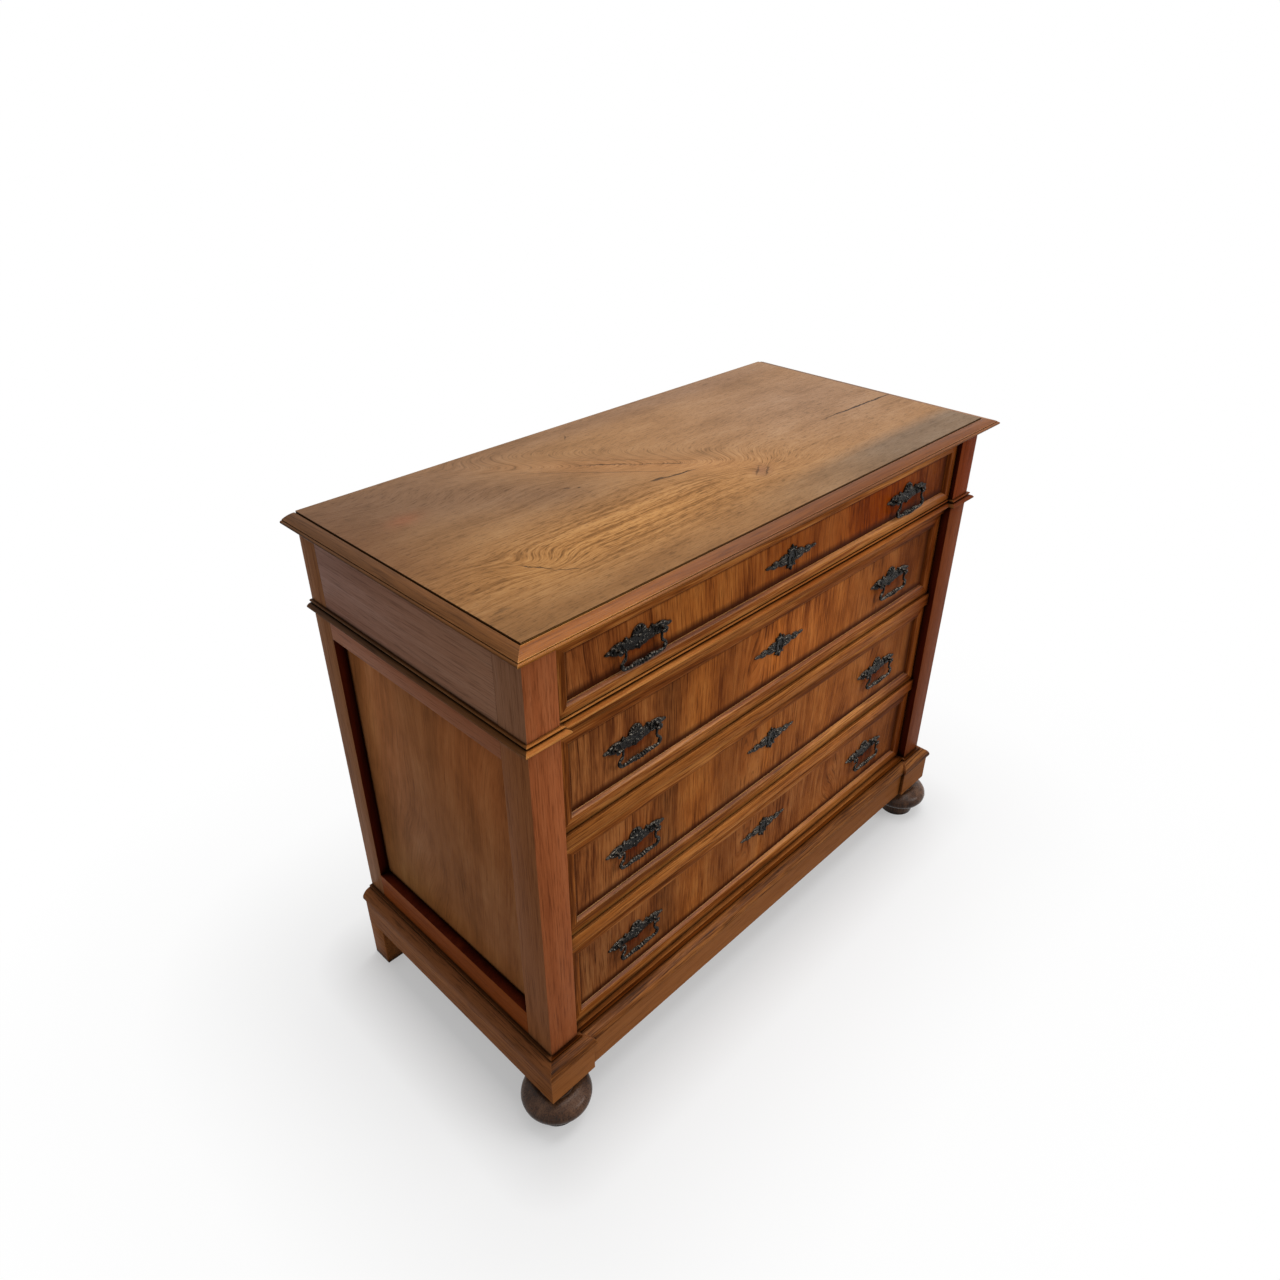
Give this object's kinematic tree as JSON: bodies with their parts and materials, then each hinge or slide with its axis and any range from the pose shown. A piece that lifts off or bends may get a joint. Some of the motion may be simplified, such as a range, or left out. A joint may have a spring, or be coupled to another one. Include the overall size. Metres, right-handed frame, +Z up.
{
  "type": "chest of drawers",
  "caption": "Wide walnut chest with stacked full-width drawers, drop bail handles, keyhole plates, moulded top, waist and plinth, and turned front feet.",
  "frame": {"origin": "on the floor, at the middle of the chest's box", "axes": "+Z up, +X to the right seen from the front, the drawers open towards -Y"},
  "size_m": [1.224, 0.585, 0.98],
  "materials": {
    "top_veneer": "waxed figured walnut veneer",
    "walnut": "waxed walnut",
    "drawer_veneer": "waxed striped walnut veneer",
    "moulding": "waxed walnut, rubbed at the edges",
    "feet": "dark stained wood",
    "inner_wood": "bare aged softwood",
    "bronze": "dark patinated cast bronze",
    "iron": "oiled iron"
  },
  "bodies": {
    "carcase": {"top_board": "top_veneer", "top_moulding": "moulding", "front_posts": "walnut", "back_posts": "walnut", "frieze_boards": "walnut", "side_rails": "walnut", "side_panels": "walnut", "waist_moulding": "moulding", "front_rails": "walnut", "drawer_runners": "inner_wood", "back_boards": "inner_wood", "bottom_board": "inner_wood", "plinth_boards": "walnut", "plinth_moulding": "moulding", "front_feet": "feet", "back_feet": "feet"},
    "drawer_1": {"drawer_1_front": "drawer_veneer", "drawer_1_front_frame": "walnut", "drawer_1_box": "inner_wood", "drawer_1_bottom": "inner_wood", "drawer_1_lock": "iron", "drawer_1_escutcheon": "bronze", "drawer_1_handle_plates": "bronze", "drawer_1_handle_posts": "bronze"},
    "drawer_1_bolt": {"drawer_1_lock_bolt": "iron"},
    "drawer_1_left_handle": {"drawer_1_bail_left": "bronze"},
    "drawer_1_right_handle": {"drawer_1_bail_right": "bronze"},
    "drawer_2": {"drawer_2_front": "drawer_veneer", "drawer_2_front_frame": "walnut", "drawer_2_box": "inner_wood", "drawer_2_bottom": "inner_wood", "drawer_2_lock": "iron", "drawer_2_escutcheon": "bronze", "drawer_2_handle_plates": "bronze", "drawer_2_handle_posts": "bronze"},
    "drawer_2_bolt": {"drawer_2_lock_bolt": "iron"},
    "drawer_2_left_handle": {"drawer_2_bail_left": "bronze"},
    "drawer_2_right_handle": {"drawer_2_bail_right": "bronze"},
    "drawer_3": {"drawer_3_front": "drawer_veneer", "drawer_3_front_frame": "walnut", "drawer_3_box": "inner_wood", "drawer_3_bottom": "inner_wood", "drawer_3_lock": "iron", "drawer_3_escutcheon": "bronze", "drawer_3_handle_plates": "bronze", "drawer_3_handle_posts": "bronze"},
    "drawer_3_bolt": {"drawer_3_lock_bolt": "iron"},
    "drawer_3_left_handle": {"drawer_3_bail_left": "bronze"},
    "drawer_3_right_handle": {"drawer_3_bail_right": "bronze"},
    "drawer_4": {"drawer_4_front": "drawer_veneer", "drawer_4_front_frame": "walnut", "drawer_4_box": "inner_wood", "drawer_4_bottom": "inner_wood", "drawer_4_lock": "iron", "drawer_4_escutcheon": "bronze", "drawer_4_handle_plates": "bronze", "drawer_4_handle_posts": "bronze"},
    "drawer_4_bolt": {"drawer_4_lock_bolt": "iron"},
    "drawer_4_left_handle": {"drawer_4_bail_left": "bronze"},
    "drawer_4_right_handle": {"drawer_4_bail_right": "bronze"}
  },
  "joints": [
    {"name": "drawer_1_slide", "type": "slide", "parent": "carcase", "child": "drawer_1", "axis": [0, -1, 0], "range_m": [0, 0.38]},
    {"name": "drawer_1_bolt_throw", "type": "slide", "parent": "drawer_1", "child": "drawer_1_bolt", "axis": [0, 0, 1], "range_m": [0, 0.008]},
    {"name": "drawer_1_left_handle_swing", "type": "hinge", "parent": "drawer_1", "child": "drawer_1_left_handle", "pos_m": [-0.35, -0.2445, 0.88504], "axis": [-1, 0, 0], "range_deg": [-12, 150]},
    {"name": "drawer_1_right_handle_swing", "type": "hinge", "parent": "drawer_1", "child": "drawer_1_right_handle", "pos_m": [0.35, -0.2445, 0.88504], "axis": [-1, 0, 0], "range_deg": [-12, 150]},
    {"name": "drawer_2_slide", "type": "slide", "parent": "carcase", "child": "drawer_2", "axis": [0, -1, 0], "range_m": [0, 0.38]},
    {"name": "drawer_2_bolt_throw", "type": "slide", "parent": "drawer_2", "child": "drawer_2_bolt", "axis": [0, 0, 1], "range_m": [0, 0.008]},
    {"name": "drawer_2_left_handle_swing", "type": "hinge", "parent": "drawer_2", "child": "drawer_2_left_handle", "pos_m": [-0.35, -0.2365, 0.70892], "axis": [-1, 0, 0], "range_deg": [-12, 150]},
    {"name": "drawer_2_right_handle_swing", "type": "hinge", "parent": "drawer_2", "child": "drawer_2_right_handle", "pos_m": [0.35, -0.2365, 0.70892], "axis": [-1, 0, 0], "range_deg": [-12, 150]},
    {"name": "drawer_3_slide", "type": "slide", "parent": "carcase", "child": "drawer_3", "axis": [0, -1, 0], "range_m": [0, 0.38]},
    {"name": "drawer_3_bolt_throw", "type": "slide", "parent": "drawer_3", "child": "drawer_3_bolt", "axis": [0, 0, 1], "range_m": [0, 0.008]},
    {"name": "drawer_3_left_handle_swing", "type": "hinge", "parent": "drawer_3", "child": "drawer_3_left_handle", "pos_m": [-0.35, -0.2365, 0.50107], "axis": [-1, 0, 0], "range_deg": [-12, 150]},
    {"name": "drawer_3_right_handle_swing", "type": "hinge", "parent": "drawer_3", "child": "drawer_3_right_handle", "pos_m": [0.35, -0.2365, 0.50107], "axis": [-1, 0, 0], "range_deg": [-12, 150]},
    {"name": "drawer_4_slide", "type": "slide", "parent": "carcase", "child": "drawer_4", "axis": [0, -1, 0], "range_m": [0, 0.38]},
    {"name": "drawer_4_bolt_throw", "type": "slide", "parent": "drawer_4", "child": "drawer_4_bolt", "axis": [0, 0, 1], "range_m": [0, 0.008]},
    {"name": "drawer_4_left_handle_swing", "type": "hinge", "parent": "drawer_4", "child": "drawer_4_left_handle", "pos_m": [-0.35, -0.2365, 0.28491], "axis": [-1, 0, 0], "range_deg": [-12, 150]},
    {"name": "drawer_4_right_handle_swing", "type": "hinge", "parent": "drawer_4", "child": "drawer_4_right_handle", "pos_m": [0.35, -0.2365, 0.28491], "axis": [-1, 0, 0], "range_deg": [-12, 150]}
  ]
}
